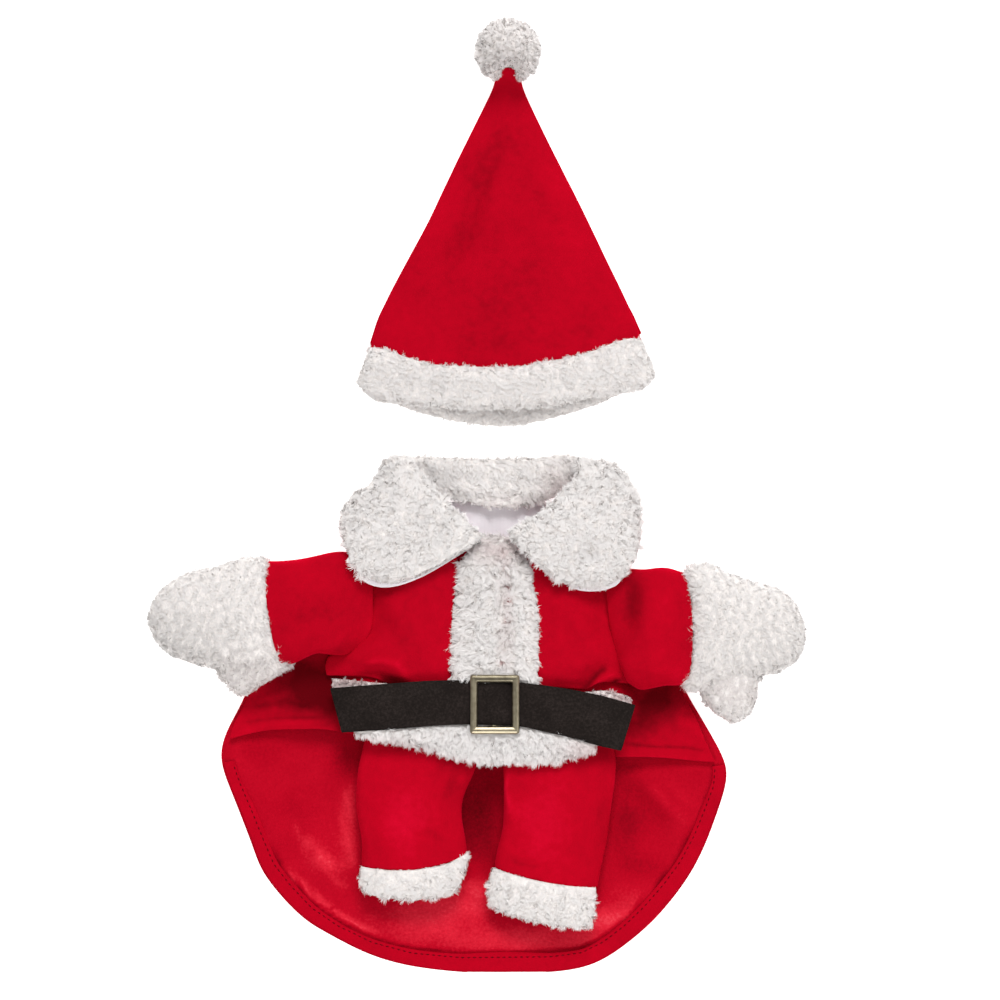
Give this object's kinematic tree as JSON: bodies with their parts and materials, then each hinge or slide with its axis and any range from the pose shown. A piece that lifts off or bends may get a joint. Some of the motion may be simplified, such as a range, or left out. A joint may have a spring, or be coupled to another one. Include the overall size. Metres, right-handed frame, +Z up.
{
  "type": "dog santa costume with hat",
  "caption": "Small dog's santa costume laid flat: red velour coat with mock jacket, stuffed arms, leg tubes, belt, boa trim and a matching pointed hat.",
  "frame": {"origin": "bottom centre of the set's box, on the table that it lies on", "axes": "+Z up from the table, +Y from the coat's rear hem to the tip of the hat, +X to the viewer's right"},
  "size_m": [0.3692, 0.5342, 0.0363],
  "materials": {
    "red_velour": "short soft pile",
    "white_boa": "tufted long pile",
    "white_lining": "smooth knit",
    "black_webbing": "matt felted weave",
    "buckle_metal": "satin nickel"
  },
  "bodies": {
    "root": {"hat_front": "red_velour", "hat_back": "red_velour", "back_panel": "red_velour", "back_hem": "red_velour", "chest_panel": "red_velour", "jacket_left": "red_velour", "jacket_right": "red_velour", "sleeve_left": "red_velour", "sleeve_right": "red_velour", "leg_left": "red_velour", "leg_right": "red_velour", "hat_band_front": "white_boa", "hat_band_back": "white_boa", "hat_pompom": "white_boa", "placket": "white_boa", "collar_left": "white_boa", "collar_right": "white_boa", "collar_back": "white_boa", "mitt_left": "white_boa", "mitt_right": "white_boa", "hem_band": "white_boa", "cuff_left": "white_boa", "cuff_right": "white_boa", "neck_lining": "white_lining", "collar_lining_left": "white_lining", "collar_lining_right": "white_lining", "belt": "black_webbing", "buckle": "buckle_metal"}
  },
  "joints": []
}
